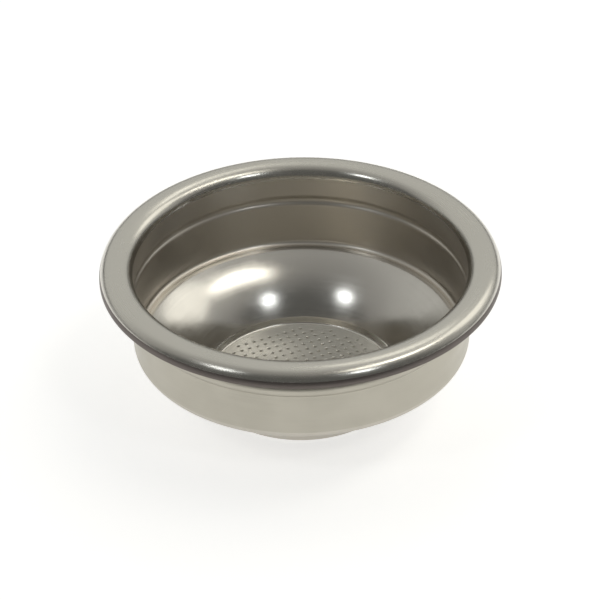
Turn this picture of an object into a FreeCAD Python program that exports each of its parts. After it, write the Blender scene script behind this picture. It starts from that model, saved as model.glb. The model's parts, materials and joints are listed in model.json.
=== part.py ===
import FreeCAD, Part
import math
import os

import Sketcher
from FreeCAD import Placement, Rotation, Vector

# A filter basket for an espresso machine, drawn from one steel disc: a straight cup
# with a rolled rim and a snap ridge, a ledge, a round bowl and a perforated floor disc.
# The frame has its origin at the middle of the floor's underside, with Z up, in mm.

# The driving sizes, each one cell of the sheet, in millimetres and degrees
SIZES = {
    "gauge": 0.6,              # thickness of the sheet
    "height": 27.22,           # underside of the floor to the top of the rim
    "bore_diameter": 58.4,     # inside of the straight cup
    "rim_width": 5.8,          # how far the rolled rim stands out from the bore
    "rim_depth": 2.59,         # top of the rolled rim down to its cut edge
    "rim_inner_round": 2.2,    # radius where the wall turns into the rim
    "crown_radius": 4.5,       # radius of the rim's top, seen in section
    "rim_outer_round": 2.4,    # radius where the rim turns down to its cut edge
    "ridge_drop": 7.02,        # top of the rim down to the middle of the snap ridge
    "ridge_height": 2.6,       # the snap ridge, along the wall
    "ridge_depth": 0.45,       # how far the snap ridge is pushed out
    "cup_depth": 16.57,        # top of the rim down to the ledge
    "corner_round": 0.9,       # inside radius between the cup's wall and its ledge
    "ledge_width": 1.9,        # bore to the mouth of the bowl
    "lip_round": 2.0,          # radius where the ledge turns down into the bowl
    "bowl_radius": 27.0,       # radius of the bowl's curve, seen in section
    "disc_diameter": 35.2,     # foot of the bowl, where the floor disc begins
    "disc_depth": 1.35,        # foot of the bowl down to the floor
    "disc_edge_round": 0.75,   # radius where the bowl turns down to the disc
    "disc_wall_angle": 75.0,   # the disc's short wall, measured from level
    "disc_corner_round": 0.5,  # inside radius between that wall and the floor
    "hole_diameter": 0.4,      # one hole of the perforation
    "hole_pitch": 1.58,        # between neighbours in a row, and between rows
    "hole_row_angle": 24.6,    # the rows, measured from X
    "field_margin": 1.9,       # edge of the disc in to the middle of the last hole
}

doc = FreeCAD.newDocument("filter_basket")
sheet = doc.addObject("Spreadsheet::Sheet", "Sizes")
for row, (alias, value) in enumerate(SIZES.items(), start=1):
    sheet.set(f"A{row}", alias)
    sheet.set(f"B{row}", str(value))
    sheet.setAlias(f"B{row}", alias)
doc.recompute()


def size(alias):
    """The number that the sheet holds under this name."""
    return float(sheet.get(alias))


# Sizes that follow from the driving ones, written once for the sheet's expressions
HALF_BORE = "Sizes.bore_diameter / 2"
MOUTH_X = "Sizes.bore_diameter / 2 - Sizes.ledge_width"
LEDGE_Z = "Sizes.height - Sizes.cup_depth"
FOOT_Z = "Sizes.gauge + Sizes.disc_depth"
RIDGE_Z = "Sizes.height - Sizes.ridge_drop"
RIDGE_RADIUS = "(Sizes.ridge_depth ^ 2 + Sizes.ridge_height ^ 2 / 4) / (4 * Sizes.ridge_depth)"
RIDGE_X = f"{HALF_BORE} + Sizes.ridge_depth - {RIDGE_RADIUS}"
RIM_X = f"{HALF_BORE} + Sizes.rim_width"
CROWN_X = f"{HALF_BORE} + Sizes.rim_width / 2"
CROWN_Z = "Sizes.height - Sizes.crown_radius"
CUT_EDGE_Z = "Sizes.height - Sizes.rim_depth"


class SheetLine:
    """The inside face of the sheet in section: lines and arcs that join smoothly.

    It runs from the axis outwards, X being the radius and Y the height. A bend to the
    left has the material outside it, and a bend to the right has it inside.
    """

    def __init__(self, name):
        self.sketch = doc.addObject("Sketcher::SketchObject", name)
        self.sketch.Placement = Placement(Vector(), Rotation(Vector(1, 0, 0), 90))
        self.tail = None

    def _join(self, index, head, tail):
        """Make a new piece start where the last one ends, in the same direction."""
        if self.tail is not None:
            self.sketch.addConstraint(Sketcher.Constraint("Tangent", *self.tail, index, head))
        self.tail = (index, tail)
        return index

    def line(self, start, end):
        """Add a straight run between two points."""
        index = self.sketch.addGeometry(Part.LineSegment(Vector(*start), Vector(*end)))
        return self._join(index, 1, 2)

    def left(self, centre, radius, heading_from, heading_to):
        """Add an arc that turns left between two headings in degrees."""
        index = self._arc(centre, radius, heading_from - 90, heading_to - 90)
        return self._join(index, 1, 2)

    def right(self, centre, radius, heading_from, heading_to):
        """Add an arc that turns right between two headings in degrees."""
        index = self._arc(centre, radius, heading_to + 90, heading_from + 90)
        return self._join(index, 2, 1)

    def _arc(self, centre, radius, low, high):
        circle = Part.Circle(Vector(*centre), Vector(0, 0, 1), radius)
        arc = Part.ArcOfCircle(circle, math.radians(low), math.radians(high))
        return self.sketch.addGeometry(arc)

    def rule(self, kind, *parts):
        """Add a rule that has no size, such as Horizontal or Equal."""
        self.sketch.addConstraint(Sketcher.Constraint(kind, *parts))

    def drive(self, name, expression, kind, *parts):
        """Add a size that the sheet sets."""
        value = evaluate(expression)
        if kind == "Angle":
            value = math.radians(value)
        number = self.sketch.addConstraint(Sketcher.Constraint(kind, *parts, value))
        self.sketch.renameConstraint(number, name)
        self.sketch.setExpression(f"Constraints.{name}", expression)


def evaluate(expression):
    """The value of one of the sheet's expressions now."""
    return float(sheet.evalExpression(expression))


def bowl_curve(foot, mouth_x, ledge_z, radius, lip_round):
    """Centre and end headings of the bowl's arc, which ends level with the lip's round."""
    heading = 30.0
    for _ in range(12):
        mouth_z = ledge_z - lip_round * (1 - math.cos(math.radians(heading)))
        run = mouth_x - foot[0]
        rise = mouth_z - foot[1]
        slope = math.degrees(math.atan2(rise, run))
        half_turn = math.degrees(math.asin(math.hypot(run, rise) / (2 * radius)))
        heading = slope - half_turn
    start = slope + half_turn
    centre_x = foot[0] + radius * math.sin(math.radians(start))
    centre_z = foot[1] - radius * math.cos(math.radians(start))
    return (centre_x, centre_z), start, heading


def ahead(heading, length=1.0):
    """A step of this length in this heading, in degrees."""
    return length * math.cos(math.radians(heading)), length * math.sin(math.radians(heading))


def centre_right(point, heading, radius):
    """Centre of an arc that leaves this point and turns right."""
    step = ahead(heading - 90, radius)
    return point[0] + step[0], point[1] + step[1]


def draw_floor_disc(face, foot, bowl_heading):
    """The perforated floor, its small corner, its short wall and the edge above it."""
    gauge = size("gauge")
    wall_angle = size("disc_wall_angle")
    corner_round = size("disc_corner_round")
    edge_round = size("disc_edge_round")
    edge_centre = centre_right(foot, bowl_heading, edge_round)
    step = ahead(wall_angle + 90, edge_round)
    wall_top = (edge_centre[0] + step[0], edge_centre[1] + step[1])
    wall_low_z = gauge + corner_round * (1 - math.cos(math.radians(wall_angle)))
    wall_low_x = wall_top[0] - (wall_top[1] - wall_low_z) / math.tan(math.radians(wall_angle))
    floor_x = wall_low_x - corner_round * math.sin(math.radians(wall_angle))

    floor = face.line((0, gauge), (floor_x, gauge))
    corner = face.left((floor_x, gauge + corner_round), corner_round, 0, wall_angle)
    wall = face.line((wall_low_x, wall_low_z), wall_top)
    edge = face.right(edge_centre, edge_round, wall_angle, bowl_heading)
    face.rule("PointOnObject", floor, 1, -2)
    face.rule("Horizontal", floor)
    face.drive("floor_z", "Sizes.gauge", "DistanceY", -1, 1, floor, 1)
    face.drive("disc_corner_round", "Sizes.disc_corner_round", "Radius", corner)
    face.drive("disc_wall_angle", "Sizes.disc_wall_angle", "Angle", wall)
    face.drive("disc_edge_round", "Sizes.disc_edge_round", "Radius", edge)


def draw_bowl(face, centre, start, end):
    """The bowl, from the edge of the disc to its mouth."""
    bowl = face.right(centre, size("bowl_radius"), start, end)
    face.drive("bowl_radius", "Sizes.bowl_radius", "Radius", bowl)
    face.drive("foot_x", "Sizes.disc_diameter / 2", "DistanceX", -1, 1, bowl, 2)
    face.drive("foot_z", FOOT_Z, "DistanceY", -1, 1, bowl, 2)
    face.drive("mouth_x", MOUTH_X, "DistanceX", -1, 1, bowl, 1)


def draw_ledge(face, mouth, bowl_heading):
    """The lip of the bowl, the ledge and the cup's lower corner."""
    lip_round = size("lip_round")
    corner_round = size("corner_round")
    half_bore = evaluate(HALF_BORE)
    ledge_z = evaluate(LEDGE_Z)
    lip_centre = (mouth[0] + lip_round * math.sin(math.radians(bowl_heading)), ledge_z - lip_round)
    lip = face.right(lip_centre, lip_round, bowl_heading, 0)
    ledge = face.line((lip_centre[0], ledge_z), (half_bore - corner_round, ledge_z))
    corner = face.left((half_bore - corner_round, ledge_z + corner_round), corner_round, 0, 90)
    face.drive("lip_round", "Sizes.lip_round", "Radius", lip)
    face.rule("Horizontal", ledge)
    face.drive("ledge_z", LEDGE_Z, "DistanceY", -1, 1, ledge, 1)
    face.drive("corner_round", "Sizes.corner_round", "Radius", corner)


def crown_end(end_round):
    """Where the crown meets the round beside it: its slope there and the round's centre."""
    run = size("rim_width") / 2 - end_round
    reach = size("crown_radius") - end_round
    spread = math.degrees(math.asin(run / reach))
    return spread, evaluate(CROWN_Z) + math.sqrt(reach ** 2 - run ** 2)


def rim_start():
    """The crown's slope where the inner round meets it, and the height of that round."""
    return crown_end(size("rim_inner_round"))


def draw_wall(face):
    """The straight wall, with the snap ridge pushed out of it below the rim."""
    half_bore = evaluate(HALF_BORE)
    radius = evaluate(RIDGE_RADIUS)
    middle_z = evaluate(RIDGE_Z)
    half_height = size("ridge_height") / 2
    turn = math.degrees(math.asin(half_height / (2 * radius)))
    lower_wall = face.line(
        (half_bore, evaluate(LEDGE_Z) + size("corner_round")), (half_bore, middle_z - half_height)
    )
    foot = face.right((half_bore + radius, middle_z - half_height), radius, 90, 90 - turn)
    ridge = face.left((evaluate(RIDGE_X), middle_z), radius, 90 - turn, 90 + turn)
    head = face.right((half_bore + radius, middle_z + half_height), radius, 90 + turn, 90)
    upper_wall = face.line((half_bore, middle_z + half_height), (half_bore, rim_start()[1]))
    face.rule("Vertical", lower_wall)
    face.rule("Vertical", upper_wall)
    face.drive("lower_bore", HALF_BORE, "DistanceX", -1, 1, lower_wall, 1)
    face.drive("upper_bore", HALF_BORE, "DistanceX", -1, 1, upper_wall, 1)
    face.rule("Equal", foot, ridge)
    face.rule("Equal", head, ridge)
    face.drive("ridge_radius", RIDGE_RADIUS, "Radius", ridge)
    face.drive("ridge_x", RIDGE_X, "DistanceX", -1, 1, ridge, 3)
    face.drive("ridge_z", RIDGE_Z, "DistanceY", -1, 1, ridge, 3)


def draw_rim(face):
    """The rolled rim: up off the wall, over its crown and down to its cut edge."""
    inner_round = size("rim_inner_round")
    outer_round = size("rim_outer_round")
    crown_x = evaluate(CROWN_X)
    crown_z = evaluate(CROWN_Z)
    crown_radius = size("crown_radius")
    rim_x = evaluate(RIM_X)
    inner_spread, inner_z = rim_start()
    outer_spread, outer_z = crown_end(outer_round)
    inner_centre = (evaluate(HALF_BORE) + inner_round, inner_z)
    inner = face.right(inner_centre, inner_round, 90, inner_spread)
    crown = face.right((crown_x, crown_z), crown_radius, inner_spread, -outer_spread)
    outer = face.right((rim_x - outer_round, outer_z), outer_round, -outer_spread, -90)
    skirt = face.line((rim_x, outer_z), (rim_x, evaluate(CUT_EDGE_Z)))
    face.drive("rim_inner_round", "Sizes.rim_inner_round", "Radius", inner)
    face.drive("crown_radius", "Sizes.crown_radius", "Radius", crown)
    face.drive("rim_outer_round", "Sizes.rim_outer_round", "Radius", outer)
    face.drive("crown_x", CROWN_X, "DistanceX", -1, 1, crown, 3)
    face.drive("crown_z", CROWN_Z, "DistanceY", -1, 1, crown, 3)
    face.rule("Vertical", skirt)
    face.drive("rim_x", RIM_X, "DistanceX", -1, 1, skirt, 2)
    face.drive("cut_edge_z", CUT_EDGE_Z, "DistanceY", -1, 1, skirt, 2)


def draw_inside_face():
    """The whole inside face, from the axis to the rim's cut edge."""
    foot = (size("disc_diameter") / 2, evaluate(FOOT_Z))
    mouth_x = evaluate(MOUTH_X)
    ledge_z = evaluate(LEDGE_Z)
    centre, start, end = bowl_curve(foot, mouth_x, ledge_z, size("bowl_radius"), size("lip_round"))
    face = SheetLine("inside_face")
    draw_floor_disc(face, foot, start)
    draw_bowl(face, centre, start, end)
    draw_ledge(face, (mouth_x, ledge_z), end)
    draw_wall(face)
    draw_rim(face)
    return face.sketch


def hole_centres():
    """Middles of the holes: a square grid with one hole on the axis, cut to a circle."""
    pitch = size("hole_pitch")
    reach = size("disc_diameter") / 2 - size("field_margin")
    turn = Rotation(Vector(0, 0, 1), size("hole_row_angle"))
    count = int(reach / pitch) + 1
    for row_number in range(-count, count + 1):
        for place in range(-count, count + 1):
            spot = Vector(place * pitch, row_number * pitch, 0)
            if spot.Length <= reach:
                yield turn.multVec(spot)


def drawn_shell(inside_face):
    """The sheet's full thickness in section, turned about the axis."""
    section = doc.addObject("Part::Offset2D", "section")
    section.Source = inside_face
    section.Mode = "Skin"
    section.Fill = True
    section.setExpression("Value", "-Sizes.gauge")
    shell = doc.addObject("Part::Revolution", "drawn_shell")
    shell.Source = section
    shell.Axis = Vector(0, 0, 1)
    shell.Angle = 360
    shell.Solid = True
    return shell


def punches():
    """One round punch, and its copies at every hole of the floor."""
    punch = doc.addObject("Part::Cylinder", "punch")
    punch.setExpression("Radius", "Sizes.hole_diameter / 2")
    punch.setExpression("Height", "2 * Sizes.gauge")
    punch.setExpression("Placement.Base.z", "-Sizes.gauge / 2")
    doc.recompute()
    copies = [punch.Shape.translated(spot) for spot in hole_centres()]
    field = doc.addObject("Part::Feature", "punch_field")
    field.Shape = Part.makeCompound(copies)
    return field


basket = doc.addObject("Part::Cut", "basket")
basket.Base = drawn_shell(draw_inside_face())
basket.Tool = punches()
basket.Label = "filter_basket"
basket.Placement = Placement()
doc.recompute()

for item in doc.Objects:
    if "Invalid" in item.State or "Error" in item.State:
        raise RuntimeError(f"{item.Label} has failed: {item.State}")
if basket.Shape.isNull() or not basket.Shape.isValid() or len(basket.Shape.Solids) != 1:
    raise RuntimeError("the basket isn't one valid solid")

os.makedirs("parts", exist_ok=True)
basket.Shape.exportStep(os.path.join("parts", f"{basket.Label}.step"))
print(f"{basket.Label}: {len(basket.Shape.Faces)} faces, {basket.Shape.Volume:.1f} mm3")
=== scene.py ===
"""Looks of an espresso filter basket: its drawn steel sheet, the finish of the steel,
a pale studio around it and the camera.

All lengths are in metres unless a name says otherwise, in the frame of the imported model:
+Z up, with the origin at the middle of the floor's underside.
"""

import json
import logging
import math
from dataclasses import dataclass, field
from enum import Enum

import bpy
import numpy as np
from mathutils import Matrix, Vector
from mathutils.geometry import delaunay_2d_cdt


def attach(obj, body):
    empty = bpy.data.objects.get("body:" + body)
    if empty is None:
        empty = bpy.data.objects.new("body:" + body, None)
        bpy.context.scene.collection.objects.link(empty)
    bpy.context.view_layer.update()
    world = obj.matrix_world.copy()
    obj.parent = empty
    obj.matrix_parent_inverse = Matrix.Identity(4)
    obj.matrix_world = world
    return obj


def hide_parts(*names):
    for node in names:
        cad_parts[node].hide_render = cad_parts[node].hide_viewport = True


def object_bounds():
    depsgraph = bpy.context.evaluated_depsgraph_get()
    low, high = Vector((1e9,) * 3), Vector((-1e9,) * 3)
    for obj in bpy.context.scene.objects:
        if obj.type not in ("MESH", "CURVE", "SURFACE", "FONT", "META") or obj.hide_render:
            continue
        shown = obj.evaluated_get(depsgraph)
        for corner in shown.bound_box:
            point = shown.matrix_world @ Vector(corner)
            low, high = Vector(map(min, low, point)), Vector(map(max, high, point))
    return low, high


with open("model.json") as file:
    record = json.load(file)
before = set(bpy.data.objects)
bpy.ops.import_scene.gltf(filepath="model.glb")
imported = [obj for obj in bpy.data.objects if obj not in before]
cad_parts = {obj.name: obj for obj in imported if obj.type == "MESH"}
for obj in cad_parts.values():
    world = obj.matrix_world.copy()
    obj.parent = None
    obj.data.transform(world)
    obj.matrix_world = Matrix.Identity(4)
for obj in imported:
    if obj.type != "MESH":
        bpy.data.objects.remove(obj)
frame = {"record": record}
cad_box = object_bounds()

LOG = logging.getLogger("filter_basket")
NODE = "filter_basket"
BODY = "root"
MM = 0.001


def mount_radius(name: str) -> float:
    """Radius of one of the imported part's round mounts.

    Args:
        name: The mount's name in the record.

    Returns:
        The radius in metres.
    """
    mounts = {mount["name"]: mount for mount in frame["record"]["mounts"]}
    return mounts[name]["dims"]["r_mm"] * MM


@dataclass
class SheetFace:
    """One side of the sheet in section, as rings that are turned about the axis.

    Attributes:
        rings: Radius, height and heading of each ring, and its distance along the face.
        marks: Distances along the face that other code asks for by name.
    """

    radius: float
    height: float
    rings: list[tuple[float, float, float, float]] = field(default_factory=list)
    marks: dict[str, float] = field(default_factory=dict)
    heading: float = 0.0
    along: float = 0.0
    longest_step: float = 1.0 * MM
    widest_turn: float = math.radians(8.0)

    def __post_init__(self) -> None:
        """Note the first ring."""
        self._note()

    def _note(self) -> None:
        """Add a ring at the present place."""
        self.rings.append((self.radius, self.height, self.heading, self.along))

    def mark(self, name: str) -> None:
        """Remember the present distance along the face under this name."""
        self.marks[name] = self.along

    def straight(self, length: float) -> None:
        """Go straight on.

        Args:
            length: How far.
        """
        steps = max(1, math.ceil(length / self.longest_step))
        for _ in range(steps):
            self.radius += math.cos(self.heading) * length / steps
            self.height += math.sin(self.heading) * length / steps
            self.along += length / steps
            self._note()

    def bend(self, radius: float, angle: float) -> None:
        """Follow an arc.

        Args:
            radius: Radius of the arc.
            angle: How far to turn, in radians, to the left if positive.
        """
        side = math.copysign(1.0, angle)
        length = radius * abs(angle)
        steps = max(2, math.ceil(abs(angle) / self.widest_turn), math.ceil(length / self.longest_step))
        centre = (
            self.radius - side * radius * math.sin(self.heading),
            self.height + side * radius * math.cos(self.heading),
        )
        start = self.heading
        for step in range(1, steps + 1):
            self.heading = start + angle * step / steps
            self.radius = centre[0] + side * radius * math.sin(self.heading)
            self.height = centre[1] - side * radius * math.cos(self.heading)
            self.along += length / steps
            self._note()


@dataclass
class Perforation:
    """The fine holes of the floor: a square grid with one hole on the axis.

    Attributes:
        reach: Radius within which a hole may have its middle.
        dimple: Radius and depth of each ring from the floor down into a hole.
    """

    reach: float
    hole_radius: float = 0.2 * MM
    pitch: float = 1.58 * MM
    row_angle: float = math.radians(24.6)
    sides: int = 12
    dimple: tuple[tuple[float, float], ...] = (
        (0.40 * MM, 0.000 * MM),
        (0.34 * MM, 0.015 * MM),
        (0.28 * MM, 0.050 * MM),
        (0.235 * MM, 0.100 * MM),
        (0.20 * MM, 0.170 * MM),
    )

    def centres(self) -> list[tuple[float, float]]:
        """Middles of the holes.

        Returns:
            X and Y of each hole.
        """
        count = int(self.reach / self.pitch) + 1
        cosine = math.cos(self.row_angle)
        sine = math.sin(self.row_angle)
        found = []
        for row in range(-count, count + 1):
            for place in range(-count, count + 1):
                across = place * self.pitch
                up = row * self.pitch
                if math.hypot(across, up) <= self.reach:
                    found.append((across * cosine - up * sine, across * sine + up * cosine))
        return found

    def slopes(self) -> list[float]:
        """Tilt of the dimple's surface at each of its rings, in radians from level."""
        places = self.dimple
        tilts = []
        for ring in range(len(places)):
            before = places[max(ring - 1, 0)]
            after = places[min(ring + 1, len(places) - 1)]
            tilts.append(math.atan2(after[1] - before[1], before[0] - after[0]))
        tilts[0] = 0.0
        return tilts


class RoundMesh:
    """Collects vertices, faces and face-corner normals, and turns them into a mesh."""

    def __init__(self, segments: int) -> None:
        """Start empty.

        Args:
            segments: How many segments a full turn about the axis has.
        """
        self.segments = segments
        self.points: list[tuple[float, float, float]] = []
        self.along: list[float] = []
        self.faces: list[tuple[int, ...]] = []
        self.zones: list[int] = []
        self.normals: list[tuple[float, float, float]] = []

    def point(self, place: tuple[float, float, float], along: float) -> int:
        """Add a vertex and return its number."""
        self.points.append(place)
        self.along.append(along)
        return len(self.points) - 1

    def ring(self, radius: float, height: float, along: float) -> list[int]:
        """Add a ring of vertices about the axis and return their numbers."""
        turns = (2 * math.pi * step / self.segments for step in range(self.segments))
        return [
            self.point((radius * math.cos(turn), radius * math.sin(turn), height), along)
            for turn in turns
        ]

    def ring_normals(self, tilt: float) -> list[tuple[float, float, float]]:
        """Normals of a ring whose surface faces this tilt above the outward direction."""
        outward = math.cos(tilt)
        upward = math.sin(tilt)
        turns = (2 * math.pi * step / self.segments for step in range(self.segments))
        return [(outward * math.cos(turn), outward * math.sin(turn), upward) for turn in turns]

    def band(
        self,
        first: list[int],
        second: list[int],
        first_normals: list[tuple[float, float, float]],
        second_normals: list[tuple[float, float, float]],
        zone: "Zone",
    ) -> None:
        """Join two rings with quads.

        Args:
            first: The ring whose vertices come first, anticlockwise seen from above.
            second: The ring that lies to the outside of the first one's surface side.
            first_normals: The surface normal at each vertex of the first ring.
            second_normals: The same for the second ring.
            zone: The finish that the quads get.
        """
        count = len(first)
        for step in range(count):
            after = (step + 1) % count
            self.zones.append(zone.value)
            self.faces.append((first[step], second[step], second[after], first[after]))
            self.normals.extend(
                (first_normals[step], second_normals[step], second_normals[after], first_normals[after])
            )

    def flat(
        self, corners: tuple[int, ...], normal: tuple[float, float, float], zone: "Zone"
    ) -> None:
        """Add one flat face."""
        self.faces.append(corners)
        self.zones.append(zone.value)
        self.normals.extend([normal] * len(corners))

    def build(self, name: str) -> bpy.types.Object:
        """Make the Blender object.

        Args:
            name: Name of the object and its mesh.

        Returns:
            The object, linked to the scene.
        """
        mesh = bpy.data.meshes.new(name)
        mesh.from_pydata(self.points, [], self.faces)
        distance = mesh.attributes.new("along", "FLOAT", "POINT")
        distance.data.foreach_set("value", self.along)
        mesh.polygons.foreach_set("material_index", self.zones)
        mesh.shade_smooth()
        mesh.normals_split_custom_set(self.normals)
        mesh.update()
        piece = bpy.data.objects.new(name, mesh)
        bpy.context.scene.collection.objects.link(piece)
        return piece


class Face(Enum):
    """Which side of the sheet a surface is on."""

    INSIDE = 1
    UNDERSIDE = -1


class Zone(Enum):
    """The parts of the sheet that differ in finish and in painted light or shade, in the order of the
    material slots.
    """

    FLOOR = 0
    BOWL = 1
    # The inner wall's steel is a little lighter than the rim's and the bowl's: painted light, brightening
    # the inside of the basket.
    WALL = 2
    RIM = 3
    # The skirt's near-black steel colour is painted shade: the rim's downward-facing underside darkened as
    # if in shade.
    SKIRT_PAINTED_SHADE = 4
    # The outside steel is darker than the inside steel: painted shade, as if it reflected the shaded floor
    # round the basket.
    OUTSIDE = 5
    UNDERSIDE = 6


@dataclass
class Basket:
    """The basket's sheet: rim, wall with its snap ridge, ledge, bowl and floor.

    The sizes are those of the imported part, which this mesh replaces vertex for vertex
    more finely, with the holes' dimples added.
    """

    height: float = cad_box[1].z - cad_box[0].z
    bore: float = mount_radius("tamper_bore")
    outside: float = mount_radius("body_wall")
    rim_radius: float = cad_box[1].x
    rim_depth: float = 2.59 * MM
    rim_inner_round: float = 2.2 * MM
    crown_radius: float = 4.5 * MM
    rim_outer_round: float = 2.4 * MM
    ridge_drop: float = 7.02 * MM
    ridge_height: float = 2.6 * MM
    ridge_depth: float = 0.45 * MM
    cup_depth: float = 16.57 * MM
    corner_round: float = 0.9 * MM
    ledge_width: float = 1.9 * MM
    lip_round: float = 2.0 * MM
    bowl_radius: float = 27.0 * MM
    disc_radius: float = 17.6 * MM
    disc_depth: float = 1.35 * MM
    disc_edge_round: float = 0.75 * MM
    disc_wall_angle: float = math.radians(75.0)
    disc_corner_round: float = 0.5 * MM
    field_margin: float = 1.9 * MM
    skirt_turn: float = math.radians(24.0)
    segments: int = 224

    @property
    def gauge(self) -> float:
        """Thickness of the sheet."""
        return self.outside - self.bore

    def bowl_headings(self) -> tuple[float, float]:
        """Headings of the bowl's curve at its foot and at its mouth.

        Returns:
            Both in radians above level.
        """
        foot_height = self.gauge + self.disc_depth
        ledge_height = self.height - self.cup_depth
        run = self.bore - self.ledge_width - self.disc_radius
        mouth_heading = math.radians(30.0)
        for _ in range(20):
            drop = self.lip_round * (1 - math.cos(mouth_heading))
            rise = ledge_height - drop - foot_height
            slope = math.atan2(rise, run)
            half_turn = math.asin(math.hypot(run, rise) / (2 * self.bowl_radius))
            mouth_heading = slope - half_turn
        return slope + half_turn, mouth_heading

    def inside_face(self) -> SheetFace:
        """The inside face, from the edge of the flat floor to the rim's cut edge."""
        foot_heading, mouth_heading = self.bowl_headings()
        edge_turn = self.disc_wall_angle - foot_heading
        edge_run = self.disc_edge_round * (math.sin(self.disc_wall_angle) - math.sin(foot_heading))
        edge_rise = self.disc_edge_round * (math.cos(foot_heading) - math.cos(self.disc_wall_angle))
        corner_run = self.disc_corner_round * math.sin(self.disc_wall_angle)
        corner_rise = self.disc_corner_round * (1 - math.cos(self.disc_wall_angle))
        wall_rise = self.disc_depth - edge_rise - corner_rise
        floor_radius = (
            self.disc_radius - edge_run - corner_run - wall_rise / math.tan(self.disc_wall_angle)
        )
        lip_run = self.lip_round * math.sin(mouth_heading)

        face = SheetFace(floor_radius, self.gauge)
        face.bend(self.disc_corner_round, self.disc_wall_angle)
        face.straight(wall_rise / math.sin(self.disc_wall_angle))
        face.bend(self.disc_edge_round, -edge_turn)
        face.mark("bowl")
        face.bend(self.bowl_radius, mouth_heading - foot_heading)
        face.mark("lip")
        face.bend(self.lip_round, -mouth_heading)
        face.mark("ledge")
        face.straight(self.ledge_width - lip_run - self.corner_round)
        face.bend(self.corner_round, math.pi / 2)
        face.mark("wall")
        self._walk_wall(face)
        face.mark("rim")
        self._walk_rim(face)
        face.mark("cut_edge")
        return face

    def _walk_wall(self, face: SheetFace) -> None:
        """Go up the straight wall and over its snap ridge."""
        ridge_middle = self.height - self.ridge_drop
        radius = (self.ridge_depth**2 + self.ridge_height**2 / 4) / (4 * self.ridge_depth)
        turn = math.asin(self.ridge_height / (4 * radius))
        face.straight(ridge_middle - self.ridge_height / 2 - face.height)
        face.mark("ridge")
        face.bend(radius, -turn)
        face.bend(radius, 2 * turn)
        face.bend(radius, -turn)
        face.mark("collar")
        face.straight(self.crown_end(self.rim_inner_round)[1] - face.height)

    def crown_end(self, end_round: float) -> tuple[float, float]:
        """Where the rim's crown meets the round beside it.

        Args:
            end_round: Radius of that round.

        Returns:
            The crown's slope there, in radians, and the height of the round's centre.
        """
        run = (self.rim_radius - self.bore) / 2 - end_round
        reach = self.crown_radius - end_round
        centre = self.height - self.crown_radius + math.sqrt(reach**2 - run**2)
        return math.asin(run / reach), centre

    def _walk_rim(self, face: SheetFace) -> None:
        """Go up off the wall, over the rim's crown and down to its cut edge."""
        inner_slope, _ = self.crown_end(self.rim_inner_round)
        outer_slope, _ = self.crown_end(self.rim_outer_round)
        face.bend(self.rim_inner_round, inner_slope - math.pi / 2)
        face.mark("crown")
        face.bend(self.crown_radius, -inner_slope - outer_slope)
        face.mark("rim_side")
        face.bend(self.rim_outer_round, outer_slope + self.skirt_turn - math.pi / 2)
        face.mark("skirt_painted_shade")
        face.bend(self.rim_outer_round, -self.skirt_turn)
        face.straight(face.height - (self.height - self.rim_depth))

    def _turned_face(self, mesh: RoundMesh, face: SheetFace, side: Face) -> list[list[int]]:
        """Add one side of the sheet.

        Args:
            mesh: Where the faces go.
            face: The inside face in section.
            side: Which side of the sheet to add.

        Returns:
            The rings of vertices, from the floor to the cut edge.
        """
        offset = self.gauge if side is Face.UNDERSIDE else 0.0
        rings = []
        normals = []
        for radius, height, heading, along in face.rings:
            ring_radius = radius + offset * math.sin(heading)
            ring_height = height - offset * math.cos(heading)
            rings.append(mesh.ring(ring_radius, ring_height, along))
            tilt = heading + math.pi / 2 * side.value
            normals.append(mesh.ring_normals(tilt))
        for lower in range(len(rings) - 1):
            upper = lower + 1
            zone = self._zone(face, face.rings[upper][3], side)
            if side is Face.INSIDE:
                mesh.band(rings[lower], rings[upper], normals[lower], normals[upper], zone)
            else:
                mesh.band(rings[upper], rings[lower], normals[upper], normals[lower], zone)
        return rings

    @staticmethod
    def _zone(face: SheetFace, along: float, side: Face) -> Zone:
        """Finish of the sheet at a distance along its section.

        Args:
            face: The inside face, with its marks.
            along: The distance along it.
            side: Which side of the sheet is asked for.

        Returns:
            The finish.
        """
        slack = 1e-6
        if side is Face.UNDERSIDE:
            return Zone.UNDERSIDE if along < face.marks["wall"] + slack else Zone.OUTSIDE
        borders = ((Zone.BOWL, "ledge"), (Zone.WALL, "rim"), (Zone.RIM, "skirt_painted_shade"))
        for zone, mark in borders:
            if along < face.marks[mark] + slack:
                return zone
        return Zone.SKIRT_PAINTED_SHADE

    def _cut_edge(self, mesh: RoundMesh, face: SheetFace, inside: list[int], under: list[int]) -> None:
        """Close the sheet at the rim's cut edge."""
        normals = mesh.ring_normals(face.heading)
        # The cut edge takes the skirt's painted shade colour.
        mesh.band(inside, under, normals, normals, Zone.SKIRT_PAINTED_SHADE)

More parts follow.
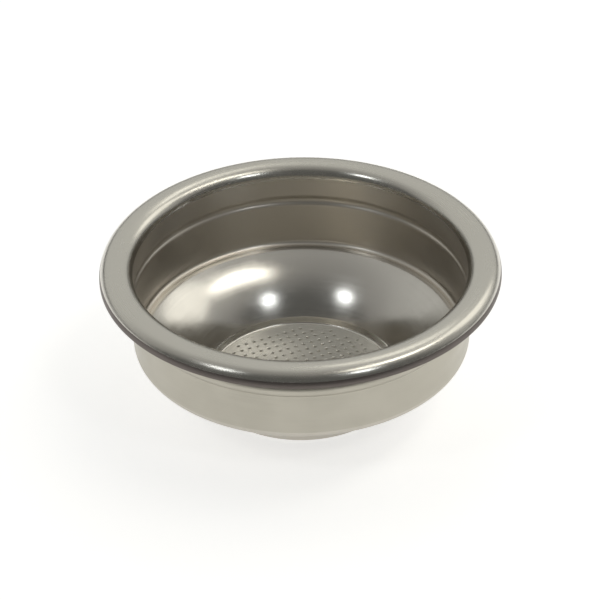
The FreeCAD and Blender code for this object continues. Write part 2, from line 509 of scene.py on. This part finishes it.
    def _floor(
        self,
        mesh: RoundMesh,
        holes: Perforation,
        edge_rings: tuple[list[int], list[int]],
    ) -> None:
        """Fill the floor's two flat sides around the holes, and line the holes.

        Args:
            mesh: Where the faces go.
            holes: The perforation.
            edge_rings: The vertices round the flat floor, above and below.
        """
        edge_radius = math.hypot(*mesh.points[edge_rings[0][0]][:2])
        steps = [2 * math.pi * side / holes.sides for side in range(holes.sides)]
        tilts = holes.slopes()
        mouths = []
        outlets = []
        for centre in holes.centres():
            rings = []
            normals = []
            profile = [(radius, self.gauge - depth) for radius, depth in holes.dimple]
            for radius, height in [*profile, (holes.hole_radius, 0.0)]:
                rings.append(
                    [
                        mesh.point(
                            (
                                centre[0] + radius * math.cos(step),
                                centre[1] + radius * math.sin(step),
                                height,
                            ),
                            self._from_edge(edge_radius, centre, radius, step),
                        )
                        for step in steps
                    ]
                )
            for tilt in [*tilts, math.pi / 2]:
                inward = math.sin(tilt)
                normals.append(
                    [(-inward * math.cos(step), -inward * math.sin(step), math.cos(tilt)) for step in steps]
                )
            for upper in range(len(rings) - 1):
                mesh.band(
                    rings[upper + 1], rings[upper], normals[upper + 1], normals[upper], Zone.FLOOR
                )
            mouths.append(rings[0])
            outlets.append(rings[-1])
        self._flat_side(mesh, edge_rings[0], mouths, Face.INSIDE)
        self._flat_side(mesh, edge_rings[1], outlets, Face.UNDERSIDE)

    @staticmethod
    def _from_edge(
        edge_radius: float, centre: tuple[float, float], radius: float, turn: float
    ) -> float:
        """Distance along the floor of a point round a hole, counted from the floor's edge."""
        across = centre[0] + radius * math.cos(turn)
        up = centre[1] + radius * math.sin(turn)
        return math.hypot(across, up) - edge_radius

    def _flat_side(
        self, mesh: RoundMesh, edge: list[int], openings: list[list[int]], side: Face
    ) -> None:
        """Fill the flat area between the floor's edge and the holes with triangles.

        Args:
            mesh: Where the faces go.
            edge: The vertices round the flat area.
            openings: The vertices round each hole.
            side: Which side of the sheet this is.
        """
        loops = [edge, *openings]
        numbers = [number for loop in loops for number in loop]
        loop_of = {number: place for place, loop in enumerate(loops) for number in loop}
        places = {number: place for place, number in enumerate(numbers)}
        borders = [
            (places[loop[step]], places[loop[(step + 1) % len(loop)]])
            for loop in loops
            for step in range(len(loop))
        ]
        spots = [Vector(mesh.points[number][:2]) for number in numbers]
        _, _, triangles, originals, _, _ = delaunay_2d_cdt(spots, borders, [], 1, 1e-9)
        zone = Zone.FLOOR if side is Face.INSIDE else Zone.UNDERSIDE
        for triangle in triangles:
            corners = [numbers[originals[corner][0]] for corner in triangle]
            owners = {loop_of[corner] for corner in corners}
            if len(owners) == 1 and owners != {0}:
                continue
            if side is Face.UNDERSIDE:
                corners.reverse()
            mesh.flat(tuple(corners), (0.0, 0.0, float(side.value)), zone)

    def build(self) -> tuple[bpy.types.Object, SheetFace]:
        """Make the basket's mesh.

        Returns:
            The object, and the inside face with its marks.
        """
        face = self.inside_face()
        mesh = RoundMesh(self.segments)
        inside = self._turned_face(mesh, face, Face.INSIDE)
        under = self._turned_face(mesh, face, Face.UNDERSIDE)
        self._cut_edge(mesh, face, inside[-1], under[-1])
        holes = Perforation(self.disc_radius - self.field_margin)
        self._floor(mesh, holes, (inside[0], under[0]))
        piece = mesh.build("basket_sheet")
        LOG.info("%s: %d faces, %d holes", piece.name, len(mesh.faces), len(holes.centres()))
        return piece, face


class NodeTree:
    """Short calls for building a node tree."""

    def __init__(self, tree: bpy.types.NodeTree) -> None:
        """Work on this tree."""
        self.tree = tree

    def node(self, kind: str, **values: object) -> bpy.types.Node:
        """Add a node and set its properties.

        Args:
            kind: The node's type name.
            **values: Properties by name.

        Returns:
            The node.
        """
        made = self.tree.nodes.new(kind)
        for name, value in values.items():
            setattr(made, name, value)
        return made

    def feed(self, socket: bpy.types.NodeSocket, source: object) -> None:
        """Link a socket to another one, or set its value."""
        if isinstance(source, bpy.types.NodeSocket):
            self.tree.links.new(source, socket)
        else:
            socket.default_value = source

    def maths(self, operation: str, *sources: object) -> bpy.types.NodeSocket:
        """Add a Math node and return its result."""
        made = self.node("ShaderNodeMath", operation=operation)
        for socket, source in zip(made.inputs, sources):
            self.feed(socket, source)
        return made.outputs[0]

    def vector(self, operation: str, *sources: object) -> bpy.types.Node:
        """Add a Vector Math node and return it."""
        made = self.node("ShaderNodeVectorMath", operation=operation)
        for socket, source in zip(made.inputs, sources):
            self.feed(socket, source)
        return made

    def joined(self, *sources: object) -> bpy.types.NodeSocket:
        """Join three values into a vector."""
        made = self.node("ShaderNodeCombineXYZ")
        for socket, source in zip(made.inputs, sources):
            self.feed(socket, source)
        return made.outputs[0]

    def parts(self, source: bpy.types.NodeSocket) -> tuple[bpy.types.NodeSocket, ...]:
        """Split a vector into its three values."""
        made = self.node("ShaderNodeSeparateXYZ")
        self.feed(made.inputs[0], source)
        return tuple(made.outputs)

    def remap(
        self, value: object, low: object, high: object, to_low: object = 0.0, to_high: object = 1.0
    ) -> bpy.types.NodeSocket:
        """Map one range of a value smoothly to another and return the result."""
        made = self.node("ShaderNodeMapRange", interpolation_type="SMOOTHSTEP")
        for socket, source in zip(made.inputs, (value, low, high, to_low, to_high)):
            self.feed(socket, source)
        return made.outputs[0]

    def noise(
        self, place: bpy.types.NodeSocket, scale: object, detail: float = 2.0, rough: float = 0.5
    ) -> bpy.types.NodeSocket:
        """Add a noise texture at this place and return its value."""
        made = self.node("ShaderNodeTexNoise")
        self.feed(made.inputs["Vector"], place)
        self.feed(made.inputs["Scale"], scale)
        self.feed(made.inputs["Detail"], detail)
        self.feed(made.inputs["Roughness"], rough)
        return made.outputs[0]

    def blend(self, share: object, first: object, second: object) -> bpy.types.NodeSocket:
        """Mix two colours by a share from 0 to 1 and return the colour."""
        made = self.node("ShaderNodeMix", data_type="RGBA", clamp_factor=True)
        self.feed(made.inputs[0], share)
        self.feed(made.inputs[6], first)
        self.feed(made.inputs[7], second)
        return made.outputs[2]


class Effect:
    """A shared node group: built once, used by every material that shows the effect."""

    def __init__(self, name: str) -> None:
        """Start an empty group with this name."""
        self.group = bpy.data.node_groups.new(name, "ShaderNodeTree")
        self.nodes = NodeTree(self.group)
        self.entry = self.nodes.node("NodeGroupInput")
        self.exit = self.nodes.node("NodeGroupOutput")

    def takes(self, name: str, kind: str, value: object = None) -> bpy.types.NodeSocket:
        """Add an input and return its socket inside the group.

        Args:
            name: Name of the input.
            kind: Its socket type.
            value: Its value where nothing is linked.

        Returns:
            The socket that the group's nodes read.
        """
        socket = self.group.interface.new_socket(name, in_out="INPUT", socket_type=kind)
        if value is not None:
            socket.default_value = value
        return self.entry.outputs[name]

    def gives(self, name: str, kind: str, source: bpy.types.NodeSocket) -> None:
        """Add an output that carries this source."""
        self.group.interface.new_socket(name, in_out="OUTPUT", socket_type=kind)
        self.nodes.feed(self.exit.inputs[name], source)

    def used_in(self, nodes: NodeTree, **sources: object) -> dict[str, bpy.types.NodeSocket]:
        """Use the group in a material.

        Args:
            nodes: The material's tree.
            **sources: Values or sockets for the group's inputs.

        Returns:
            The group's outputs by name.
        """
        made = nodes.node("ShaderNodeGroup", node_tree=self.group)
        for name, source in sources.items():
            nodes.feed(made.inputs[name], source)
        return {socket.name: socket for socket in made.outputs}


FLOAT = "NodeSocketFloat"
VECTOR = "NodeSocketVector"
COLOUR = "NodeSocketColor"


def sheet_place() -> Effect:
    """Where a point is on the sheet: millimetres along it, and its direction about the axis."""
    effect = Effect("Sheet place")
    nodes = effect.nodes
    spot = nodes.node("ShaderNodeTexCoord").outputs["Object"]
    across, up, _ = nodes.parts(spot)
    flat = nodes.joined(across, up, 0.0)
    turn = nodes.vector("NORMALIZE", flat).outputs[0]
    along = nodes.node("ShaderNodeAttribute", attribute_name="along").outputs["Fac"]
    effect.gives("Turn", VECTOR, turn)
    effect.gives("Along", FLOAT, nodes.maths("MULTIPLY", along, 1.0 / MM))
    for name, source in (("Spot", spot), ("Flat", flat)):
        scaled = nodes.vector("SCALE", source)
        nodes.feed(scaled.inputs["Scale"], 1.0 / MM)
        effect.gives(name, VECTOR, scaled.outputs[0])
    return effect


def turned_lines() -> Effect:
    """Fine lines that run round the axis, left by drawing and polishing."""
    effect = Effect("Turned lines")
    nodes = effect.nodes
    turn = effect.takes("Turn", VECTOR)
    along = effect.takes("Along", FLOAT)
    fineness = effect.takes("Fineness", FLOAT, 6.0)
    length = effect.takes("Length", FLOAT, 1.2)
    around = nodes.vector("SCALE", turn)
    nodes.feed(around.inputs["Scale"], length)
    across, up, _ = nodes.parts(around.outputs[0])
    place = nodes.joined(across, up, nodes.maths("MULTIPLY", along, fineness))
    lines = nodes.noise(place, 1.0, 3.0, 0.65)
    effect.gives("Height", FLOAT, lines)
    effect.gives("Mask", FLOAT, nodes.remap(lines, 0.35, 0.65))
    return effect


def clouding() -> Effect:
    """Soft patches where the polish is duller or brighter."""
    effect = Effect("Clouding")
    nodes = effect.nodes
    spot = effect.takes("Spot", VECTOR)
    size = effect.takes("Size", FLOAT, 6.0)
    scale = nodes.maths("DIVIDE", 1.0, size)
    patches = nodes.noise(spot, scale, 3.0, 0.6)
    effect.gives("Share", FLOAT, nodes.remap(patches, 0.3, 0.7))
    return effect


@dataclass(frozen=True)
class SteelFinish:
    """Finish of one zone of the sheet.

    Attributes:
        zone: The zone that it is for.
        colour: Colour of the steel, linear; lighter in the wall zone as painted light, darker in the skirt
            and outside zones as painted shade.
        roughness: Its roughness between the patches of duller polish.
        clouds: How much the patches add to the roughness.
        cloud_size: Size of the patches in millimetres.
        lines: Height of the turned lines, in millimetres.
        fineness: How many lines lie in a millimetre.
        line_length: How far a line runs, in turns of the noise.
        stretch: How much the reflections stretch across the lines.
        dish: How much steeper the surface gets towards the outside, per millimetre.
    """

    zone: Zone
    colour: tuple[float, float, float]
    roughness: float
    clouds: float = 0.06
    cloud_size: float = 6.0
    lines: float = 0.004
    fineness: float = 6.0
    line_length: float = 1.2
    stretch: float = 0.5
    dish: float = 0.0


class Steel:
    """Builds the material of each finish."""

    def __init__(self) -> None:
        """Build the shared effects."""
        self.place = sheet_place()
        self.lines = turned_lines()
        self.clouding = clouding()

    def material(self, finish: SteelFinish) -> bpy.types.Material:
        """Make the material of a finish.

        Args:
            finish: The finish.

        Returns:
            The material.
        """
        material = bpy.data.materials.new(f"steel_{finish.zone.name.lower()}")
        material.use_nodes = True
        nodes = NodeTree(material.node_tree)
        shader = material.node_tree.nodes["Principled BSDF"]
        place = self.place.used_in(nodes)
        lines = self.lines.used_in(
            nodes,
            Turn=place["Turn"],
            Along=place["Along"],
            Fineness=finish.fineness,
            Length=finish.line_length,
        )
        clouds = self.clouding.used_in(nodes, Spot=place["Spot"], Size=finish.cloud_size)["Share"]
        rough = nodes.maths("MULTIPLY_ADD", clouds, finish.clouds, finish.roughness)
        rough = nodes.maths("MULTIPLY_ADD", lines["Mask"], 0.06, rough)
        nodes.feed(shader.inputs["Roughness"], rough)
        # Base colour: the steel, lighter in the wall zone as painted light and darker in the skirt and
        # outside zones as painted shade.
        nodes.feed(shader.inputs["Base Color"], (*finish.colour, 1.0))
        nodes.feed(shader.inputs["Metallic"], 1.0)
        nodes.feed(shader.inputs["Anisotropic"], finish.stretch)
        nodes.feed(shader.inputs["Anisotropic Rotation"], 0.25)
        tangent = nodes.node("ShaderNodeTangent", direction_type="RADIAL", axis="Z")
        nodes.feed(shader.inputs["Tangent"], tangent.outputs[0])
        radial = nodes.vector("LENGTH", place["Flat"]).outputs["Value"]
        dish = nodes.maths("MULTIPLY", nodes.maths("MULTIPLY", radial, radial), finish.dish / 2)
        height = nodes.maths("MULTIPLY_ADD", lines["Height"], finish.lines, dish)
        bump = nodes.node("ShaderNodeBump")
        nodes.feed(bump.inputs["Height"], height)
        nodes.feed(bump.inputs["Distance"], MM)
        nodes.feed(shader.inputs["Normal"], bump.outputs[0])
        LOG.info("%s: roughness %.2f", material.name, finish.roughness)
        return material


@dataclass
class Lamp:
    """A soft lamp with a flat face, wider one way than the other.

    Attributes:
        name: Its name.
        towards: Direction from the object to it.
        lengthwise: Direction of its longer side.
        width: Its longer side, in degrees as seen from the object.
        depth: Its shorter side, in the same way.
        glow: How bright its face is, where white paper in full light is 1.
        colour: Its colour, linear.
        distance: How far it is from the object.
    """

    name: str
    towards: tuple[float, float, float]
    lengthwise: tuple[float, float, float]
    width: float
    depth: float
    glow: float
    colour: tuple[float, float, float] = (1.0, 1.0, 1.0)
    distance: float = 0.8

    def _side(self, degrees: float) -> float:
        """Length of a side that looks this wide from the object."""
        return 2 * self.distance * math.tan(math.radians(degrees) / 2)

    def build(self, target: Vector) -> bpy.types.Object:
        """Make the lamp and aim it.

        Args:
            target: Where it shines.

        Returns:
            The lamp.
        """
        light = bpy.data.lights.new(self.name, "AREA")
        light.shape = "ELLIPSE"
        light.size = self._side(self.width)
        light.size_y = self._side(self.depth)
        light.color = self.colour
        face = math.pi * light.size * light.size_y / 4
        light.energy = self.glow * math.pi * face
        lamp = bpy.data.objects.new(self.name, light)
        back = Vector(self.towards).normalized()
        across = Vector(self.lengthwise)
        across = (across - back * across.dot(back)).normalized()
        turned = Matrix((across, back.cross(across), back)).transposed().to_4x4()
        lamp.matrix_world = Matrix.Translation(target + back * self.distance) @ turned
        bpy.context.scene.collection.objects.link(lamp)
        LOG.info("%s: %.3f W", self.name, light.energy)
        return lamp


@dataclass
class Studio:
    """The pale floor, the surroundings and the lamps."""

    floor_front: float = 0.12
    floor_size: float = 12.0
    floor_colour: tuple[float, float, float] = (0.8, 0.8, 0.79)
    floor_lift: float = 0.62
    bright_top: tuple[float, float, float] = (0.33, 0.325, 0.31)
    bright_back: tuple[float, float, float] = (0.64, 0.64, 0.61)
    dark: tuple[float, float, float] = (0.12, 0.12, 0.115)

    def build(self, target: Vector) -> None:
        """Make everything round the object.

        Args:
            target: The middle of the object.
        """
        self._floor()
        self._surroundings()
        level = (1.0, 0.0, 0.0)
        cool = (0.93, 0.97, 1.0)
        cream = (1.0, 0.97, 0.88)
        lamps = (
            Lamp("lamp_right", (0.415, -0.52, 0.745), level, 10.0, 7.0, 8.0, cool),
            Lamp("lamp_left", (-0.52, -0.395, 0.757), level, 10.0, 7.0, 8.0, cool),
            Lamp("lamp_warm", (0.45, -0.05, 0.89), (0.62, 0.68, -0.40), 36.0, 10.0, 3.6, cream),
            Lamp("lamp_low", (0.66, 0.42, 0.62), (0.2, 0.8, -0.5), 34.0, 26.0, 0.85, cream),
            Lamp("lamp_back", (0.17, 0.59, 0.79), level, 17.0, 10.0, 1.2, cream),
        )
        for lamp in lamps:
            lamp.build(target)

    def _floor(self) -> None:
        """Make the floor, which looks white and keeps the object's shadow."""
        half = self.floor_size / 2
        front = -self.floor_front
        corners = [(-half, front, 0.0), (half, front, 0.0), (half, half, 0.0), (-half, half, 0.0)]
        mesh = bpy.data.meshes.new("studio_floor")
        mesh.from_pydata(corners, [], [(0, 1, 2, 3)])
        floor = bpy.data.objects.new("studio_floor", mesh)
        bpy.context.scene.collection.objects.link(floor)
        material = bpy.data.materials.new("pale_floor")
        material.use_nodes = True
        nodes = NodeTree(material.node_tree)
        shader = material.node_tree.nodes["Principled BSDF"]
        nodes.feed(shader.inputs["Base Color"], (*self.floor_colour, 1.0))
        nodes.feed(shader.inputs["Roughness"], 0.9)
        nodes.feed(shader.inputs["Specular IOR Level"], 0.1)
        path = nodes.node("ShaderNodeLightPath").outputs
        seen = nodes.maths("MAXIMUM", path["Is Camera Ray"], path["Is Glossy Ray"])
        seen = nodes.maths("MAXIMUM", seen, path["Is Transmission Ray"])
        nodes.feed(shader.inputs["Emission Color"], (1.0, 1.0, 1.0, 1.0))
        nodes.feed(shader.inputs["Emission Strength"], nodes.maths("MULTIPLY", seen, self.floor_lift))
        mesh.materials.append(material)

    def _surroundings(self) -> None:
        """Light the object from a room that is dark on the camera's side."""
        world = bpy.data.worlds.new("surroundings")
        bpy.context.scene.world = world
        world.use_nodes = True
        nodes = NodeTree(world.node_tree)
        background = world.node_tree.nodes["Background"]
        direction = nodes.node("ShaderNodeTexCoord").outputs["Generated"]
        _, backward, upward = nodes.parts(direction)
        upright = nodes.vector("LENGTH", nodes.joined(0.0, backward, upward)).outputs["Value"]
        forward = nodes.maths("DIVIDE", nodes.maths("MULTIPLY", backward, -1.0), upright)
        dark_front = nodes.remap(forward, 0.20, 0.66)
        dark_low = nodes.remap(upward, 0.24, 0.08)
        share = nodes.maths("MAXIMUM", dark_front, dark_low)
        towards_back = nodes.remap(backward, -0.25, 0.55)
        bright = nodes.blend(towards_back, (*self.bright_top, 1.0), (*self.bright_back, 1.0))
        colour = nodes.blend(share, bright, (*self.dark, 1.0))
        nodes.feed(background.inputs["Color"], colour)


@dataclass
class PhotoCamera:
    """The camera, at the viewing angle of the photograph.

    Attributes:
        elevation: How far above level it looks from, in radians.
        distance: How far it is from the sight point.
        lens: Focal length in millimetres, for a 36 mm sensor.
        roll: How far it leans, in radians.
        aim: How far the aim point is right of and above the sight point, in the view.
        sight_drop: How far the sight point on the axis lies below the top of the rim.
    """

    elevation: float = math.radians(33.8)
    distance: float = 375.0 * MM
    lens: float = 129.15
    roll: float = math.radians(1.0)
    aim: tuple[float, float] = (-0.157 * MM, -5.98 * MM)
    sight_drop: float = 2.12 * MM

    def build(self, rim_top: float) -> bpy.types.Object:
        """Make the camera and give it to the scene.

        Args:
            rim_top: Height of the top of the rim.

        Returns:
            The camera.
        """
        right = Vector((1.0, 0.0, 0.0))
        up = Vector((0.0, math.sin(self.elevation), math.cos(self.elevation)))
        back = Vector((0.0, -math.cos(self.elevation), math.sin(self.elevation)))
        sight = Vector((0.0, 0.0, rim_top - self.sight_drop))
        place = sight + back * self.distance
        back = (place - (sight + right * self.aim[0] + up * self.aim[1])).normalized()
        right = up.cross(back).normalized()
        up = back.cross(right)
        across = right * math.cos(self.roll) - up * math.sin(self.roll)
        upward = up * math.cos(self.roll) + right * math.sin(self.roll)
        data = bpy.data.cameras.new("photo_camera")
        data.sensor_width = 36.0
        data.lens = self.lens
        data.clip_start = 0.01
        data.clip_end = 50.0
        camera = bpy.data.objects.new("photo_camera", data)
        turned = Matrix((across, upward, back)).transposed().to_4x4()
        camera.matrix_world = Matrix.Translation(place) @ turned
        bpy.context.scene.collection.objects.link(camera)
        bpy.context.scene.camera = camera
        return camera


FINISHES = (
    SteelFinish(Zone.FLOOR, (0.62, 0.60, 0.55), 0.24, lines=0.0, dish=0.014),
    SteelFinish(Zone.BOWL, (0.62, 0.60, 0.56), 0.15, lines=0.0002, stretch=0.1),
    # Inner wall: steel made lighter as painted light on the inside of the basket.
    SteelFinish(Zone.WALL, (0.66, 0.62, 0.56), 0.28, lines=0.001),
    SteelFinish(Zone.RIM, (0.62, 0.60, 0.55), 0.18, lines=0.002),
    # Skirt and cut edge: steel painted near black as painted shade on the rim's underside; the lines are a
    # real bump.
    SteelFinish(Zone.SKIRT_PAINTED_SHADE, (0.16, 0.14, 0.13), 0.35, lines=0.003),
    # Outside: darker steel as painted shade of the floor that the outer wall reflects.
    SteelFinish(Zone.OUTSIDE, (0.49, 0.465, 0.40), 0.30),
    SteelFinish(Zone.UNDERSIDE, (0.56, 0.53, 0.47), 0.30),
)


def main() -> None:
    """Build the basket, the studio and the camera, and report each piece."""
    logging.basicConfig(level=logging.INFO, format="%(name)s: %(message)s")
    basket = Basket()
    piece, _ = basket.build()
    steel = Steel()
    for finish in FINISHES:
        piece.data.materials.append(steel.material(finish))
    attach(piece, BODY)
    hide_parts(NODE)
    Studio().build(Vector((0.0, 0.0, basket.height / 2)))
    PhotoCamera().build(basket.height)
    bpy.context.scene.view_settings.view_transform = "Standard"


if __name__ == "__main__":
    main()
